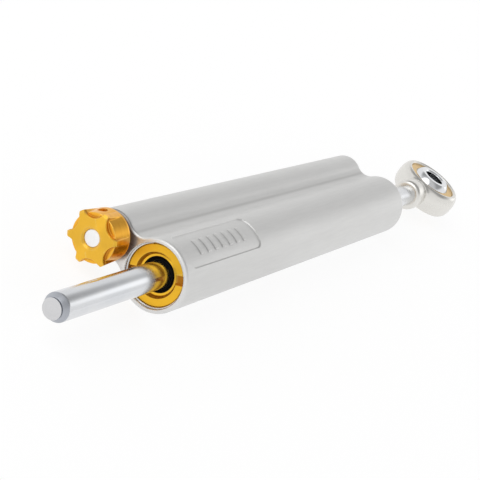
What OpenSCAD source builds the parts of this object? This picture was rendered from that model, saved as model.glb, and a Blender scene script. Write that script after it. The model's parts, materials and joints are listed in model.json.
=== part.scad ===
// Motorcycle steering damper with a through rod, a click adjuster and a spherical rod end.
// Millimetres. X runs along the rod from the knob end to the rod end, Y points from the main
// barrel to the small lobe, Z is up along the bolt axis of the rod end. The origin lies on the
// rod axis at the middle of the barrel.

/* [Barrel] */
// Length of the twin-lobe housing
body_l = 205; // [190:1:240]
// Outside diameter of the main barrel, which the clamp grips
barrel_d = 27; // [26.5:0.1:32]
// Working bore that the piston runs in
bore_d = 22.4; // [21.4:0.1:22.8]
// Counterbore that takes a seal head at each end
head_bore_d = 23.4; // [23.2:0.1:23.8]
// Diameter of the small lobe that holds the adjuster
lobe_d = 17.8; // [17:0.1:20]
// Distance from the rod axis to the lobe axis
lobe_offset = 21.8; // [21.5:0.1:24]
// Radius of the concave blend between the lobes
blend_r = 6.5; // [3:0.25:7]
// Chamfer on the outer edges of both end faces
edge_chamfer = 1; // [0.3:0.1:1.2]
// Chamfer at the mouths of the bores
mouth_chamfer = 0.3; // [0.1:0.05:0.4]
// Radius of the bypass drilling in the small lobe
bypass_r = 2.2; // [1.8:0.1:2.4]
// Radius of the two ports from the barrel to the small lobe
port_r = 1.5; // [1:0.1:2]

/* [Badge recess] */
// Length of the recess along the barrel
badge_l = 51; // [30:1:60]
// Width of the recess across the barrel
badge_w = 13.8; // [8:0.2:16]
// Distance of the recess from the front face
badge_from_front = 4.6; // [3:0.2:40]
// Direction of the recess, from the lobe side towards the top
badge_angle = 96.5; // [60:0.5:150]
// Depth of the recess
badge_depth = 0.4; // [0.2:0.05:0.6]
// Corner radius of the recess
badge_corner_r = 2.5; // [1:0.25:4]
// Number of plain raised bars in the recess
bar_count = 7; // [3:1:9]
// Width of one bar
bar_w = 2.6; // [1.5:0.1:3.5]
// Height of one bar across the barrel
bar_h = 6.4; // [4:0.2:8]
// Spacing of the bars
bar_pitch = 5.4; // [4:0.1:5.6]

/* [Seal heads] */
// Depth of the head face below the end face of the barrel
head_recess = 1.6; // [0.8:0.1:2]
// Length of a seal head
head_l = 25; // [24.5:0.5:30]
// Radius of the cup turned into the head face
cup_r = 8.3; // [8:0.1:9.5]
// Radius of the cup at its floor
cup_floor_r = 7.4; // [7.3:0.1:7.9]
// Depth of that cup
cup_depth = 1.6; // [0.8:0.1:2]
// Width of the two spanner slots in the head face
slot_w = 3.5; // [2:0.1:4]
// Depth of the spanner slots
slot_depth = 1.3; // [0.5:0.1:1.5]
// Direction of the spanner slots, from the lobe side towards the top
slot_angle = 148; // [0:1:180]
// Wire radius of the retaining rings of the seal heads
head_wire_r = 0.5; // [0.4:0.05:0.6]
// Outer radius of the rod wiper
wiper_r = 6.5; // [6.4:0.1:7.1]
// Length of the rod wiper
wiper_l = 3.2; // [2:0.1:4]
// Outer radius of the rod seal
seal_r = 7.8; // [7:0.1:8.5]
// Length of the rod seal
seal_l = 4.5; // [3:0.1:5]
// Wall of the rod bush
bush_wall = 1.2; // [0.8:0.1:2]
// Length of the rod bush
bush_l = 9; // [6:0.5:10]
// Section radius of the seal ring round a head
head_o_ring_r = 0.7; // [0.5:0.05:0.8]

/* [Rod and piston] */
// Diameter of the piston rod
rod_d = 10; // [9:0.1:10.4]
// Length of rod that stands out of the front face at rest
rod_reach = 60.2; // [56:0.2:80]
// Length of the taper at the rod tip
tip_taper_l = 2.75; // [1:0.25:6]
// Radial depth of that taper
tip_taper_r = 1.3; // [0.5:0.1:2]
// Distance of the piston from the middle of the barrel at rest
piston_x = -9; // [-12:0.5:-6]
// Length of the piston
piston_l = 14; // [10:0.5:18]
// Length of the band round the piston
band_l = 5; // [3:0.25:7]
// Radial wall of the band
band_wall = 1.5; // [1:0.1:2.5]
// Thickness of the rings that hold the piston on the rod
clip_t = 1; // [0.8:0.1:1.5]
// Outer radius of those rings
clip_r = 6.6; // [6:0.1:7.5]
// Depth of their grooves in the rod
clip_groove_depth = 0.7; // [0.4:0.1:1]

/* [Rod end] */
// Distance from the rear face to the centre of the eye at rest
eye_gap = 67.8; // [66:0.2:90]
// Radius of the crowned eye
eye_r = 16.9; // [16:0.1:18]
// Width of the eye
eye_w = 13.2; // [12:0.2:14]
// Chamfer at the two edges of the crowned eye
eye_chamfer = 0.9; // [0.2:0.1:1.2]
// Radius of the shank that screws on the rod
shank_r = 7.6; // [7:0.1:10]
// Distance from the eye centre to the open end of the shank
shank_l = 29.8; // [25:0.2:32]
// Chamfer at the open end of the shank
shank_chamfer = 0.8; // [0.3:0.1:1.2]
// Length of the cone that brings the shank down to the width of the eye
neck_l = 3.6; // [2:0.2:5]
// Outer radius of the race
race_r = 13; // [12.6:0.1:13.6]
// Width of the race
race_w = 10.8; // [9:0.2:12]
// Radius of the ball
ball_r = 11.1; // [10.8:0.1:11.4]
// Width of the ball
ball_w = 16; // [15:0.2:17]
// Diameter of the bolt hole through the ball
bolt_d = 10; // [8:0.1:12]
// Chamfer of the bolt hole
bolt_chamfer = 0.6; // [0.2:0.1:1]
// Length of the thread in the shank
thread_l = 12; // [10:0.5:13]
// Depth of the clearance bore at the mouth of the shank
shank_mouth_l = 2.5; // [1:0.25:4]

/* [Adjuster] */
// Radius of the knob at the tips of its grips
knob_r = 10.2; // [9:0.05:11]
// Radius of the knob at its rear rim
knob_rim_r = 9.6; // [8:0.05:10]
// Gap between the lobe face and the knob
knob_gap = 1.3; // [1.2:0.05:2]
// Length of the boss behind the rear rim
knob_boss_l = 1.2; // [0.6:0.05:2]
// Radius of that boss
knob_boss_r = 7.4; // [6.8:0.1:8]
// Distance from the lobe face to the front of the knob
knob_reach = 12.8; // [11:0.1:16]
// Fall of the domed front towards the grips
knob_dome = 0.4; // [0.2:0.1:2]
// Radius of the flat middle of the knob front
knob_flat_r = 4.6; // [4:0.1:6]
// Number of finger scallops
scallop_count = 6; // [4:1:8]
// Radius of the cutter that bites the scallops into the knob front
scallop_r = 5.2; // [4:0.1:6]
// Radius left under a scallop
scallop_floor_r = 7.1; // [6.8:0.1:8.4]
// Depth of a scallop behind the rim of the knob front
scallop_depth = 1.25; // [0.6:0.05:2]
// Radius of the knob between its grips, at the knob front
grip_core_r = 8.9; // [8.5:0.05:9.6]
// Radius between the grips at the rear rim, where the grips run out if this is more than the rim
grip_core_rear_r = 9.75; // [9:0.05:10.2]
// Width of each grip
grip_w = 2.2; // [1.4:0.1:3.6]
// Direction of the first grip, from the lobe side towards the top
grip_angle = 28.3; // [0:0.5:60]
// Radius of the adjuster spindle
spindle_r = 3.2; // [2.8:0.05:3.4]
// Depth of the spindle end below the knob front
spindle_recess = 0.6; // [0:0.05:1]
// Radius of the grub screw in the knob
grub_r = 1.7; // [1:0.1:2]
// Length of the grub screw
grub_l = 3.6; // [2:0.1:4]
// Outer radius of the adjuster sleeve
sleeve_r = 6.5; // [6.3:0.05:6.9]
// Length of the adjuster sleeve inside the lobe
sleeve_l = 26; // [24:0.5:28]
// Radius of the sleeve flange
flange_r = 7.6; // [7.2:0.1:8]
// Thickness of the sleeve flange
flange_t = 0.8; // [0.5:0.05:1]
// Depth of the valve seat behind the lobe face
seat_depth = 34; // [33:0.5:38]
// Radius of the threaded part of the metering needle
needle_r = 4.4; // [4:0.1:4.8]
// Radius of the needle stem
needle_stem_r = 2.5; // [2.3:0.1:3]
// Width across the flats of the hexagonal needle tail
tail_af = 3.2; // [2.6:0.1:3.6]
// Number of clicks in one turn
click_count = 12; // [8:1:16]
// Radius of a detent ball
detent_r = 1; // [0.8:0.05:1.1]
// Radius of the circle of detents
detent_circle_r = 4.9; // [4.7:0.05:5]

/* [Compensator] */
// Radius of the compensator bore in the rear of the lobe
comp_bore_r = 6; // [5.5:0.1:6.4]
// Depth of that bore from the rear face
comp_bore_l = 40; // [38:0.5:46]
// Length of the floating piston
comp_piston_l = 8; // [6:0.5:9]
// Length of the spring between the floating piston and the cap
comp_spring_l = 13; // [11:0.5:15]
// Wire radius of that spring
comp_wire_r = 0.5; // [0.3:0.05:0.6]
// Turns of that spring
comp_turns = 5; // [4:1:6]
// Length of the cap
cap_l = 6; // [5:0.5:7]
// Wire radius of the retaining ring of the cap
cap_wire_r = 0.4; // [0.3:0.05:0.5]

/* [Fits] */
// Radial clearance of a sliding or turning fit
run_gap = 0.04; // [0.02:0.01:0.1]
// Clearance of a fixed seat
seat_gap = 0.02; // [0.01:0.01:0.05]
// Axial play of a captive ring
side_gap = 0.05; // [0.02:0.01:0.1]

/* [Hidden] */
$fn = 96;
eps = 0.01;
past = 1;
barrel_r = barrel_d / 2;
lobe_r = lobe_d / 2;
bore_r = bore_d / 2;
head_bore_r = head_bore_d / 2;
rod_r = rod_d / 2;
bolt_r = bolt_d / 2;
head_r = head_bore_r - seat_gap;
head_in = head_recess + head_l;
// Centres of the two blends, which sink a little into both lobes so that the faces cross cleanly
blend_sink = 0.03;
blend_far = lobe_r + blend_r - blend_sink;
blend_near = barrel_r + blend_r - blend_sink;
blend_cos = (pow(blend_near, 2) + pow(lobe_offset, 2) - pow(blend_far, 2)) / (2 * blend_near * lobe_offset);
blend_x = blend_near * sin(acos(blend_cos));
blend_y = blend_near * blend_cos;
// Seal pockets of a head, as depths below the end face of the barrel
wiper_drop = 0.3;
seal_land = 2;
ring_land = 4;
groove_play = 0.2;
rod_clear = 0.3;
lip_t = 0.8;
lip_r = rod_r + run_gap;
wiper_in = head_recess + cup_depth + wiper_drop;
seal_in = wiper_in + wiper_l + seal_land;
bush_in = head_in - bush_l;
head_ring_in = head_in - ring_land;
rod_hole_r = rod_r + rod_clear;
bush_r = lip_r + bush_wall;
// Places along X at rest
front_x = -body_l / 2;
rear_x = body_l / 2;
tip_x = front_x - rod_reach;
eye_x = rear_x + eye_gap;
shank_x = eye_x - shank_l;
thread_x = shank_x + thread_l;
neck_sink = 0.6;
neck_from = shank_l - eye_r + neck_sink;
neck_r = eye_w / 2 - seat_gap;
eye_flat_r = sqrt(pow(eye_r, 2) - pow(eye_w / 2, 2)) - eye_chamfer;
eye_side_w = eye_w / 2 - (eye_r - eye_flat_r);
thread_drop = 0.5;
rod_stub_r = rod_r - thread_drop;
rod_end_x = thread_x - thread_drop;
rod_step_x = shank_x + shank_mouth_l;
// Piston
piston_r = bore_r - 2 * run_gap;
band_r = bore_r - run_gap;
band_in_r = band_r - band_wall;
groove_r = rod_r - clip_groove_depth;
// Knob, as depths behind the lobe face
knob_front = -knob_reach;
knob_rear = -knob_gap;
knob_rim = knob_rear - knob_boss_l;
knob_edge = knob_front + knob_dome;
knob_break = 0.5;
scallop_phase = grip_angle + 180 / scallop_count;
grub_at = knob_rim + 0.44 * (knob_edge - knob_rim);
// Spindle and sleeve
spindle_front = knob_front + spindle_recess;
spindle_bore_r = spindle_r + run_gap;
sleeve_wide_r = needle_r + run_gap;
sleeve_step = 8;
spindle_head_l = 2;
spindle_head_r = sleeve_wide_r - 2 * run_gap;
spindle_end = sleeve_step + side_gap + spindle_head_l;
needle_gap = 3;
needle_travel = 1;
needle_top = spindle_end + needle_gap;
needle_thread_l = 8;
needle_tip = seat_depth + 2;
needle_cone_l = 4;
needle_tip_r = 1;
tail_l = 5;
socket_l = tail_l - needle_gap + needle_travel + groove_play;
spindle_ring_at = 4;
spindle_ring_r = 0.45;
sleeve_ring_r = 0.5;
sleeve_ring_at = sleeve_l - ring_land;
// Detents
detent_hole_r = detent_r + run_gap;
detent_at = -flange_t - eps;
detent_floor = 6;
detent_wire_r = 0.15;
detent_spring_r = detent_r - detent_wire_r - 2 * run_gap;
detent_turns = 4;
click_play = 0.12;
click_depth = 0.15;
// Compensator, as depths below the rear face of the lobe
cap_recess = 1;
cap_in = cap_recess + cap_l;
comp_spring_in = cap_in + comp_spring_l;
comp_piston_in = comp_spring_in + comp_piston_l;
comp_ring_r = 0.6;
comp_piston_r = comp_bore_r - run_gap;
comp_ring_at = comp_spring_in + comp_piston_l / 2;
cap_r = comp_bore_r - seat_gap;
cap_ring_at = cap_recess + cap_l / 2 + comp_ring_r;
cap_hole_r = 1.6;
cap_hole_l = 3;
comp_coil_clear = 0.7;
comp_coil_r = comp_bore_r - comp_wire_r - comp_coil_clear;
// Ports, as depths below the front and rear faces
front_port_at = (sleeve_l + seat_depth) / 2;
port_land = 1;
rear_port_at = comp_bore_l - port_r - port_land;

// Places a child with its z axis along +X, z = 0 on the front face
module from_front() {
    translate([front_x, 0, 0]) rotate([0, 90, 0]) children();
}

// The same from the rear face inwards
module from_rear() {
    mirror([1, 0, 0]) from_front() children();
}

// Places a child with its z axis along +X, z = 0 at a given X
module at_x(x) {
    translate([x, 0, 0]) rotate([0, 90, 0]) children();
}

// Moves a child from the rod axis to the lobe axis
module on_lobe() {
    translate([0, lobe_offset, 0]) children();
}

// Turns a child so that its x axis points at an angle from the lobe side towards the top
module facing(angle) {
    rotate([0, 0, angle + 90]) children();
}

module tube(r_out, r_in, from, to) {
    translate([0, 0, from]) difference() {
        cylinder(r = r_out, h = to - from);
        translate([0, 0, -past]) cylinder(r = r_in, h = to - from + 2 * past);
    }
}

module rod(r, from, to) {
    translate([0, 0, from]) cylinder(r = r, h = to - from);
}

module ring(centre_r, section_r, at) {
    translate([0, 0, at]) rotate_extrude() translate([centre_r, 0]) circle(r = section_r, $fn = 32);
}

// Groove cut into a bar of radius r for a seal ring that ends flush with it
module ring_groove(r, section_r, at) {
    half = section_r + groove_play;
    tube(r + past, r - 2 * section_r - seat_gap, at - half, at + half);
}

// Bar with both edges chamfered
module chamfered_rod(r, chamfer, h) {
    rotate_extrude() polygon([
        [0, 0], [r - chamfer, 0], [r, chamfer], [r, h - chamfer], [r - chamfer, h], [0, h]
    ]);
}

// Opens the mouth of a bore at z = 0 with a chamfer
module mouth(r, chamfer) {
    translate([0, 0, -eps]) cylinder(r1 = r + chamfer, r2 = r, h = chamfer + eps);
}

// Cutter for a concave blend whose ends flare like the chamfers of the lobes
module blend_cutter(x) {
    translate([x, blend_y, 0]) {
        rod(blend_r, -past, body_l + past);
        flare = edge_chamfer + eps;
        translate([0, 0, -eps]) cylinder(r1 = blend_r + flare, r2 = blend_r, h = flare);
        translate([0, 0, body_l - edge_chamfer]) cylinder(r1 = blend_r, r2 = blend_r + flare, h = flare);
    }
}

module twin_lobe() {
    chamfered_rod(barrel_r, edge_chamfer, body_l);
    on_lobe() chamfered_rod(lobe_r, edge_chamfer, body_l);
    difference() {
        linear_extrude(body_l) polygon([[0, 0], [blend_x, blend_y], [0, lobe_offset], [-blend_x, blend_y]]);
        blend_cutter(blend_x);
        blend_cutter(-blend_x);
    }
}

module rounded_plate(l, w, r) {
    square([l - 2 * r, w], center = true);
    square([l, w - 2 * r], center = true);
    for (x = [-1, 1], y = [-1, 1])
        translate([x * (l / 2 - r), y * (w / 2 - r)]) circle(r = r);
}

// Outline of the recess and of the plain bars left standing in it
module badge_outline() {
    difference() {
        rounded_plate(badge_l, badge_w, badge_corner_r);
        for (i = [0 : bar_count - 1])
            translate([(i - (bar_count - 1) / 2) * bar_pitch, 0]) square([bar_w, bar_h], center = true);
    }
}

// Shallow recess whose floor follows the barrel
module badge_recess() {
    middle = badge_from_front + badge_l / 2;
    difference() {
        facing(badge_angle) translate([0, 0, middle]) rotate([0, 90, 0])
            linear_extrude(barrel_r + past) badge_outline();
        rod(barrel_r - badge_depth, middle - badge_l, middle + badge_l);
    }
}

// Bore for a plug, with a chamfered mouth and a square groove for its retaining wire
module wired_bore(bore, wire_r, recess, l) {
    half = wire_r + seat_gap;
    rod(bore, -past, l);
    mouth(bore, mouth_chamfer);
    rod(bore + half, recess - half, recess + half);
}

module barrel_housing() {
    color([0.78, 0.78, 0.77]) difference() {
        from_front() twin_lobe();
        from_front() rod(bore_r, -past, body_l + past);
        from_front() wired_bore(head_bore_r, head_wire_r, head_recess, head_in);
        from_rear() wired_bore(head_bore_r, head_wire_r, head_recess, head_in);
        from_front() badge_recess();
        from_front() on_lobe() {
            rod(sleeve_r + seat_gap, -past, seat_depth);
            rod(bypass_r, seat_depth - past, body_l - comp_bore_l + past);
        }
        from_rear() on_lobe() wired_bore(comp_bore_r, cap_wire_r, cap_recess, comp_bore_l);
        from_front() translate([0, 0, front_port_at]) rotate([-90, 0, 0]) rod(port_r, 0, lobe_offset);
        from_rear() translate([0, 0, rear_port_at]) rotate([-90, 0, 0]) rod(port_r, 0, lobe_offset);
    }
}

// Outline of a plug whose outer edge is chamfered to sit against a retaining wire
module wired_plug(bore, wire_r, recess, l) {
    r = bore - seat_gap;
    seat = wire_r * sqrt(2) + 2 * seat_gap;
    rotate_extrude() polygon([
        [0, recess], [bore - seat, recess], [r, recess + r - bore + seat], [r, recess + l], [0, recess + l]
    ]);
}

module seal_head() {
    color([0.86, 0.6, 0.16]) difference() {
        wired_plug(head_bore_r, head_wire_r, head_recess, head_l);
        translate([0, 0, head_recess - eps]) cylinder(r1 = cup_r, r2 = cup_floor_r, h = cup_depth + eps);
        rod(wiper_r + seat_gap, head_recess, wiper_in + wiper_l);
        rod(seal_r + seat_gap, seal_in, seal_in + seal_l + groove_play);
        rod(rod_hole_r, 0, head_in + past);
        rod(bush_r + seat_gap, bush_in, head_in + past);
        ring_groove(head_r, head_o_ring_r, head_ring_in);
        facing(slot_angle) translate([-head_bore_r - past, -slot_w / 2, head_recess - past])
            cube([2 * (head_bore_r + past), slot_w, slot_depth + past]);
    }
}

// Wiper with a sharp lip round the rod and a raised outer edge
module rod_wiper() {
    color([0.06, 0.06, 0.06]) rotate_extrude() polygon([
        [lip_r, wiper_in], [lip_r + lip_t / 2, wiper_in], [lip_r + lip_t, wiper_in + lip_t],
        [wiper_r - lip_t / 2, wiper_in + lip_t / 2], [wiper_r, wiper_in + lip_t],
        [wiper_r, wiper_in + wiper_l], [lip_r + lip_t, wiper_in + wiper_l],
        [lip_r + lip_t, wiper_in + 2 * lip_t], [lip_r, wiper_in + lip_t]
    ]);
}

// U-section seal, open towards the oil
module rod_seal() {
    from = seal_in + groove_play / 2;
    color([0.1, 0.1, 0.1]) difference() {
        tube(seal_r, lip_r, from, from + seal_l);
        tube(seal_r - lip_t, lip_r + lip_t, from + seal_l / 2, from + seal_l + past);
    }
}

module rod_bush() {
    color([0.72, 0.5, 0.3]) tube(bush_r, lip_r, bush_in + side_gap, head_in);
}

module head_o_ring() {
    color([0.08, 0.08, 0.08]) ring(head_r - head_o_ring_r, head_o_ring_r, head_ring_in);
}

// Open wire ring that springs into its groove
module wire_ring(bore, wire_r, at, gap) {
    color([0.6, 0.6, 0.62]) difference() {
        ring(bore, wire_r, at);
        facing(slot_angle - 90) translate([0, -gap / 2, at - wire_r - past])
            cube([bore + past, gap, 2 * (wire_r + past)]);
    }
}

module front_seal_head() { from_front() seal_head(); }
module rear_seal_head() { from_rear() seal_head(); }
module front_rod_wiper() { from_front() rod_wiper(); }
module rear_rod_wiper() { from_rear() rod_wiper(); }
module front_rod_seal() { from_front() rod_seal(); }
module rear_rod_seal() { from_rear() rod_seal(); }
module front_rod_bush() { from_front() rod_bush(); }
module rear_rod_bush() { from_rear() rod_bush(); }
module front_head_o_ring() { from_front() head_o_ring(); }
module rear_head_o_ring() { from_rear() head_o_ring(); }
module front_wire_ring() { from_front() wire_ring(head_bore_r, head_wire_r, head_recess, slot_w); }
module rear_wire_ring() { from_rear() wire_ring(head_bore_r, head_wire_r, head_recess, slot_w); }

// Groove for a piston ring, on the given side of the piston
module clip_place(side) {
    at_x(piston_x) translate([0, 0, side * (piston_l / 2 + side_gap + clip_t / 2)]) children();
}

module piston_rod() {
    color([0.85, 0.86, 0.88]) difference() {
        at_x(0) rotate_extrude() polygon([
            [0, tip_x], [rod_r - tip_taper_r, tip_x], [rod_r, tip_x + tip_taper_l], [rod_r, rod_step_x],
            [rod_stub_r, rod_step_x], [rod_stub_r, rod_end_x], [0, rod_end_x]
        ]);
        for (side = [-1, 1])
            clip_place(side)
                tube(rod_r + past, groove_r, -(clip_t + side_gap) / 2, (clip_t + side_gap) / 2);
    }
}

module piston() {
    color([0.75, 0.7, 0.6]) at_x(piston_x) difference() {
        tube(piston_r, rod_r + seat_gap, -piston_l / 2, piston_l / 2);
        tube(bore_r + past, band_in_r - run_gap, -band_l / 2 - side_gap, band_l / 2 + side_gap);
    }
}

module piston_band() {
    color([0.35, 0.3, 0.25]) at_x(piston_x) tube(band_r, band_in_r, -band_l / 2, band_l / 2);
}

// Open ring that holds the piston on the rod
module piston_clip(side) {
    color([0.5, 0.5, 0.52]) clip_place(side) difference() {
        tube(clip_r, groove_r + seat_gap, -clip_t / 2, clip_t / 2);
        translate([0, -groove_r / 2, -clip_t]) cube([clip_r + past, groove_r, 2 * clip_t]);
    }
}

module front_piston_clip() { piston_clip(-1); }
module rear_piston_clip() { piston_clip(1); }

module rod_end_housing() {
    color([0.86, 0.85, 0.82]) difference() {
        union() {
            translate([eye_x, 0, 0]) intersection() {
                sphere(r = eye_r);
                rotate_extrude() polygon([
                    [0, -eye_w / 2], [eye_flat_r, -eye_w / 2], [eye_r, -eye_side_w], [eye_r, eye_side_w],
                    [eye_flat_r, eye_w / 2], [0, eye_w / 2]
                ]);
            }
            at_x(shank_x) rotate_extrude() polygon([
                [0, 0], [shank_r - shank_chamfer, 0], [shank_r, shank_chamfer], [shank_r, neck_from],
                [neck_r, neck_from + neck_l], [0, neck_from + neck_l]
            ]);
        }
        translate([eye_x, 0, 0]) rod(race_r + seat_gap, -eye_w, eye_w);
        at_x(shank_x) rod(rod_hole_r, -past, shank_mouth_l);
        at_x(shank_x) rod(rod_stub_r + seat_gap, -past, thread_l);
    }
}

module rod_end_race() {
    color([0.83, 0.66, 0.4]) translate([eye_x, 0, 0]) difference() {
        rod(race_r, -race_w / 2, race_w / 2);
        sphere(r = ball_r + run_gap);
    }
}

module rod_end_ball() {
    color([0.88, 0.89, 0.9]) translate([eye_x, 0, 0]) difference() {
        intersection() {
            sphere(r = ball_r);
            cube([3 * ball_r, 3 * ball_r, ball_w], center = true);
        }
        rod(bolt_r, -ball_w, ball_w);
        for (side = [0, 1])
            mirror([0, 0, side]) translate([0, 0, -ball_w / 2]) mouth(bolt_r, bolt_chamfer);
    }
}

// Finger scallops in the rim of the front
module scallops() {
    for (i = [0 : scallop_count - 1])
        facing(scallop_phase + i * 360 / scallop_count) translate([scallop_floor_r + scallop_r, 0, 0])
            rod(scallop_r, knob_front - past, knob_edge + scallop_depth);
}

// Radius of the core between the grips at a depth, on a line from the knob front to the rear rim
function core_at(z) = grip_core_r + (grip_core_rear_r - grip_core_r) * (z - knob_edge) / (knob_rim - knob_edge);

// The core and the grips that stand on it, longer than the knob
module grips() {
    from = knob_front - past;
    to = knob_rear + past;
    rotate_extrude() polygon([[0, from], [core_at(from), from], [core_at(to), to], [0, to]]);
    for (i = [0 : scallop_count - 1])
        facing(grip_angle + i * 360 / scallop_count)
            translate([0, -grip_w / 2, from]) cube([knob_r + past, grip_w, to - from]);
}

// Ring of click dimples in the track that the detent balls run in
module click_track() {
    ring(detent_circle_r, detent_r + click_play, detent_at);
    for (i = [0 : click_count - 1])
        facing(grip_angle + i * 360 / click_count)
            translate([detent_circle_r, 0, detent_at - click_depth]) sphere(r = detent_r + click_play);
}

module adjuster_knob() {
    color([0.88, 0.6, 0.12]) from_front() on_lobe() difference() {
        intersection() {
            rotate_extrude() polygon([
                [0, knob_front], [knob_flat_r, knob_front], [knob_r - knob_break, knob_edge - knob_break / 2],
                [knob_r, knob_edge + knob_break], [knob_rim_r, knob_rim - knob_break],
                [knob_rim_r - knob_break, knob_rim], [knob_boss_r, knob_rim], [knob_boss_r, knob_rear],
                [0, knob_rear]
            ]);
            grips();
        }
        scallops();
        click_track();
        rod(spindle_r + seat_gap, knob_front - past, knob_rear + past);
        translate([0, 0, knob_front]) mouth(spindle_r + seat_gap, mouth_chamfer);
        facing(scallop_phase) translate([0, 0, grub_at]) rotate([0, 90, 0])
            rod(grub_r + seat_gap, 0, knob_r);
    }
}

module knob_grub_screw() {
    socket_r = grub_r * 0.55;
    color([0.15, 0.15, 0.16]) from_front() on_lobe() facing(scallop_phase) translate([0, 0, grub_at])
        rotate([0, 90, 0]) difference() {
            rod(grub_r, spindle_r + seat_gap, spindle_r + grub_l);
            translate([0, 0, spindle_r + grub_l / 2]) cylinder(r = socket_r, h = grub_l, $fn = 6);
        }
}

module hexagon(across, from, to) {
    translate([0, 0, from]) cylinder(r = across / sqrt(3), h = to - from, $fn = 6);
}

module adjuster_spindle() {
    color([0.88, 0.88, 0.87]) from_front() on_lobe() difference() {
        union() {
            rotate_extrude() polygon([
                [0, spindle_front], [spindle_r - mouth_chamfer, spindle_front],
                [spindle_r, spindle_front + mouth_chamfer], [spindle_r, spindle_end], [0, spindle_end]
            ]);
            rod(spindle_head_r, sleeve_step + side_gap, spindle_end);
        }
        ring_groove(spindle_r, spindle_ring_r, spindle_ring_at);
        hexagon(tail_af + 2 * run_gap, spindle_end - socket_l, spindle_end + past);
    }
}

module spindle_o_ring() {
    color([0.08, 0.08, 0.08]) from_front() on_lobe()
        ring(spindle_r - spindle_ring_r, spindle_ring_r, spindle_ring_at);
}

// Places the two detents on opposite sides of the sleeve
module detent_places() {
    from_front() on_lobe() for (side = [0, 180])
        facing(grip_angle + side) translate([detent_circle_r, 0, 0]) children();
}

module adjuster_sleeve() {
    color([0.7, 0.7, 0.7]) difference() {
        from_front() on_lobe() difference() {
            union() {
                rod(sleeve_r, -flange_t, sleeve_l);
                rod(flange_r, -flange_t, 0);
            }
            rod(spindle_bore_r, -past - flange_t, sleeve_l);
            rod(sleeve_wide_r, sleeve_step, sleeve_l + past);
            ring_groove(sleeve_r, sleeve_ring_r, sleeve_ring_at);
        }
        detent_places() rod(detent_hole_r, -past - flange_t, detent_floor);
    }
}

module sleeve_o_ring() {
    color([0.08, 0.08, 0.08]) from_front() on_lobe()
        ring(sleeve_r - sleeve_ring_r, sleeve_ring_r, sleeve_ring_at);
}

module metering_needle() {
    color([0.8, 0.68, 0.35]) from_front() on_lobe() {
        hexagon(tail_af, needle_top - tail_l, needle_top + eps);
        rotate_extrude() polygon([
            [0, needle_top], [needle_r, needle_top], [needle_r, needle_top + needle_thread_l],
            [needle_stem_r, needle_top + needle_thread_l], [needle_stem_r, needle_tip - needle_cone_l],
            [needle_tip_r, needle_tip], [0, needle_tip]
        ]);
    }
}

module detent_balls() {
    color([0.75, 0.76, 0.78]) detent_places() translate([0, 0, detent_at]) sphere(r = detent_r);
}

// Wire wound round z from 0 to l, as one tube with square ends
module coil_spring(centre_r, wire_r, l, turns) {
    sides = 6;
    steps = 8 * turns;
    rise = (l - 2 * wire_r) / steps;
    points = [
        for (i = [0 : steps], k = [0 : sides - 1])
            let (a = 360 * i * turns / steps, b = 360 * k / sides, r = centre_r + wire_r * cos(b))
                [r * cos(a), r * sin(a), wire_r + i * rise + wire_r * sin(b)]
    ];
    walls = [
        for (i = [0 : steps - 1], k = [0 : sides - 1])
            let (n = (k + 1) % sides, p = i * sides, q = p + sides)
                each [[p + k, q + k, q + n], [p + k, q + n, p + n]]
    ];
    last = steps * sides;
    ends = [for (k = [1 : sides - 2]) each [[0, k, k + 1], [last, last + k + 1, last + k]]];
    polyhedron(points = points, faces = concat(walls, ends));
}

module detent_springs() {
    from = detent_at + detent_r + side_gap;
    color([0.6, 0.6, 0.62]) detent_places() translate([0, 0, from])
        coil_spring(detent_spring_r, detent_wire_r, detent_floor - side_gap - from, detent_turns);
}

module compensator_piston() {
    color([0.8, 0.78, 0.7]) from_rear() on_lobe() difference() {
        rod(comp_piston_r, comp_spring_in, comp_piston_in);
        ring_groove(comp_piston_r, comp_ring_r, comp_ring_at);
    }
}

module compensator_o_ring() {
    color([0.08, 0.08, 0.08]) from_rear() on_lobe()
        ring(comp_piston_r - comp_ring_r, comp_ring_r, comp_ring_at);
}

module compensator_spring() {
    color([0.6, 0.6, 0.62]) from_rear() on_lobe() translate([0, 0, cap_in + side_gap])
        coil_spring(comp_coil_r, comp_wire_r, comp_spring_l - 2 * side_gap, comp_turns);
}

module compensator_cap() {
    color([0.86, 0.6, 0.16]) from_rear() on_lobe() difference() {
        wired_plug(comp_bore_r, cap_wire_r, cap_recess, cap_l);
        rod(cap_hole_r, 0, cap_recess + cap_hole_l);
        ring_groove(cap_r, comp_ring_r, cap_ring_at);
    }
}

module cap_o_ring() {
    color([0.08, 0.08, 0.08]) from_rear() on_lobe()
        ring(cap_r - comp_ring_r, comp_ring_r, cap_ring_at);
}

module cap_wire_ring() {
    from_rear() on_lobe() wire_ring(comp_bore_r, cap_wire_r, cap_recess, cap_hole_r);
}

barrel_housing();
front_seal_head();
rear_seal_head();
front_rod_wiper();
rear_rod_wiper();
front_rod_seal();
rear_rod_seal();
front_rod_bush();
rear_rod_bush();
front_head_o_ring();
rear_head_o_ring();
front_wire_ring();
rear_wire_ring();
piston_rod();
piston();
piston_band();
front_piston_clip();
rear_piston_clip();
rod_end_housing();
rod_end_race();
rod_end_ball();
adjuster_knob();
knob_grub_screw();
adjuster_spindle();
spindle_o_ring();
adjuster_sleeve();
sleeve_o_ring();
metering_needle();
detent_balls();
detent_springs();
compensator_piston();
compensator_o_ring();
compensator_spring();
compensator_cap();
cap_o_ring();
cap_wire_ring();
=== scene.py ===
import json
import math

import bmesh
import bpy
import numpy as np
from mathutils import Matrix, Vector


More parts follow.
